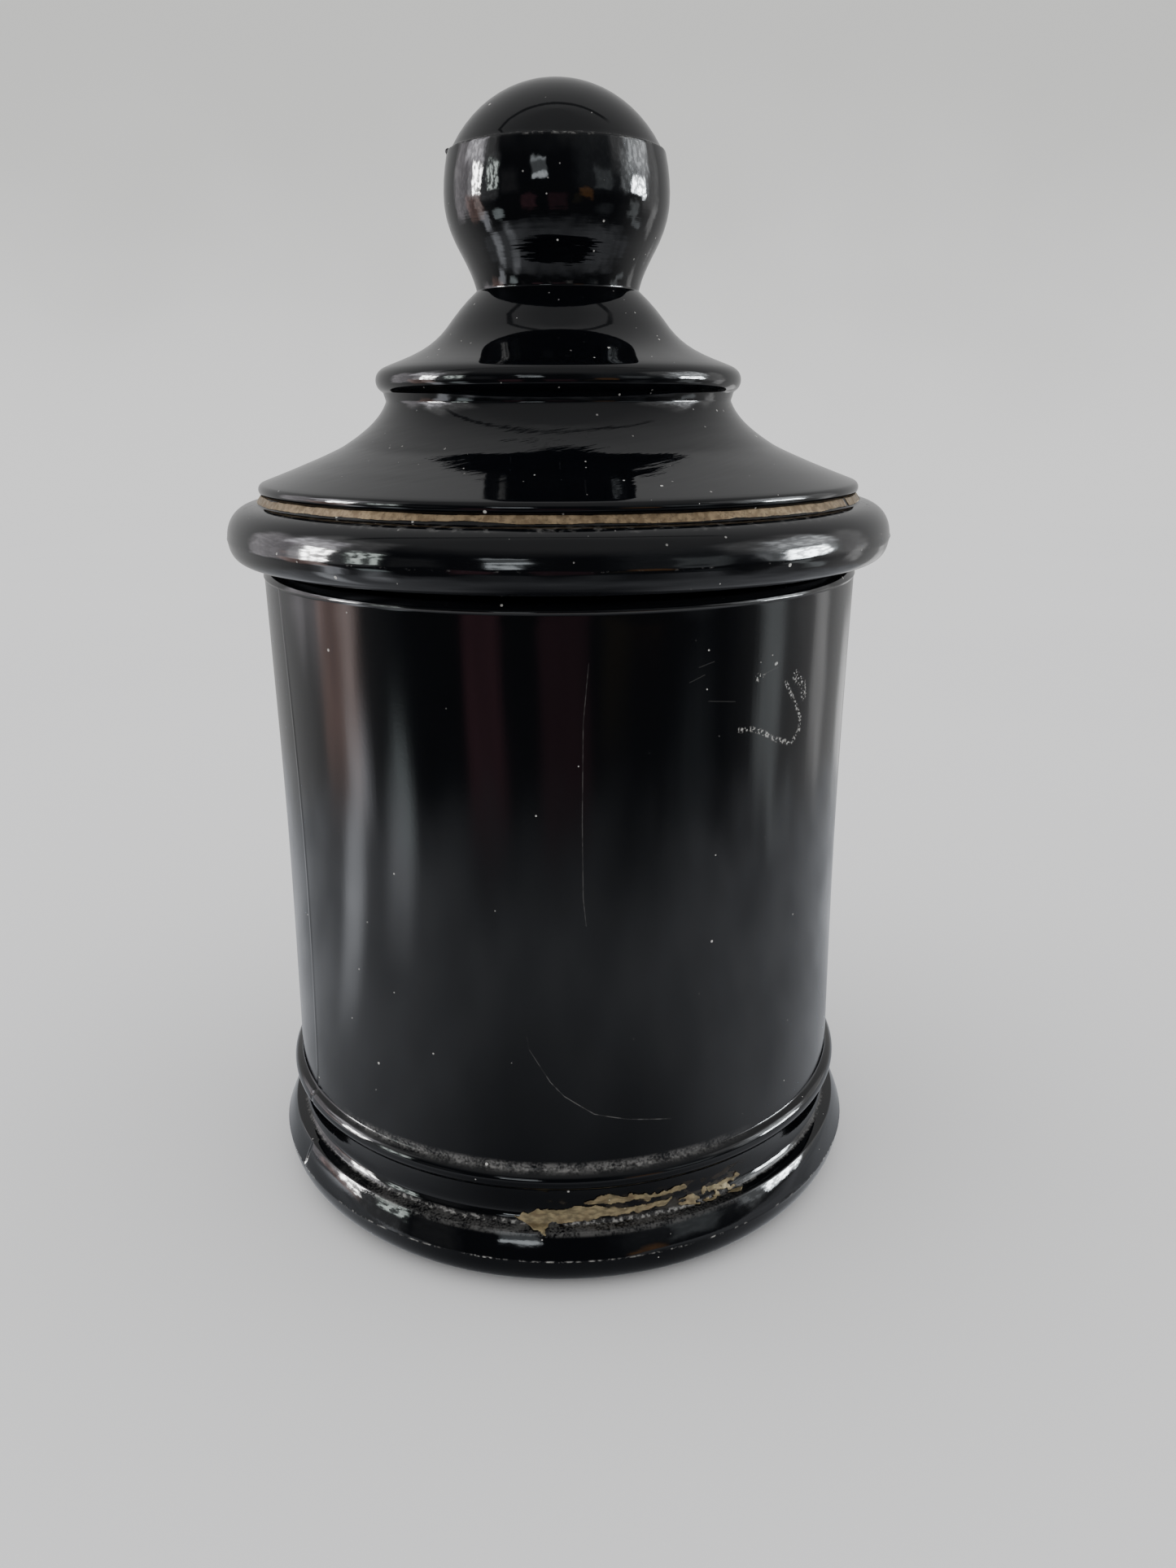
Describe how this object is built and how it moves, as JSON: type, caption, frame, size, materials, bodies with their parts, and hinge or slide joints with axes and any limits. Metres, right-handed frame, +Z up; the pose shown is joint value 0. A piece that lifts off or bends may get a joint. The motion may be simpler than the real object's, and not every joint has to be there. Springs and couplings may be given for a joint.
{
  "type": "disinfectant jar",
  "caption": "Opaque black glass jar with a lift-off knobbed lid, worn gilt line, torn foil label and a lift-out instrument insert.",
  "frame": {"origin": "centre of the flat standing ring under the foot, on the table", "axes": "+Z up along the jar's axis, -Y towards the side that carries the torn label, +X to that side's right"},
  "size_m": [0.124, 0.124, 0.2059],
  "materials": {
    "black_glass": "gloss",
    "gold_paint": "worn satin",
    "gold_foil": "worn satin",
    "stainless_steel": "satin",
    "foot_plastic": "matte"
  },
  "bodies": {
    "jar": {"jar_body": "black_glass", "label_remnant": "gold_foil", "label_flake": "gold_foil"},
    "lid": {"lid": "black_glass", "gilt_line": "gold_paint"},
    "insert": {"insert_tray": "stainless_steel", "insert_handle": "stainless_steel", "insert_washer_upper": "stainless_steel", "insert_washer_lower": "stainless_steel", "insert_nut_upper": "stainless_steel", "insert_nut_lower": "stainless_steel", "insert_foot_1": "foot_plastic", "insert_foot_2": "foot_plastic", "insert_foot_3": "foot_plastic"}
  },
  "joints": [
    {"name": "lid_lift", "type": "slide", "parent": "jar", "child": "lid", "axis": [0, 0, 1], "range_m": [0, 0.28]},
    {"name": "insert_lift", "type": "slide", "parent": "jar", "child": "insert", "axis": [0, 0, 1], "range_m": [0, 0.14]}
  ],
  "couplings": [
    {"joint": "insert_lift", "follows": "lid_lift", "ratio": 0.5}
  ]
}
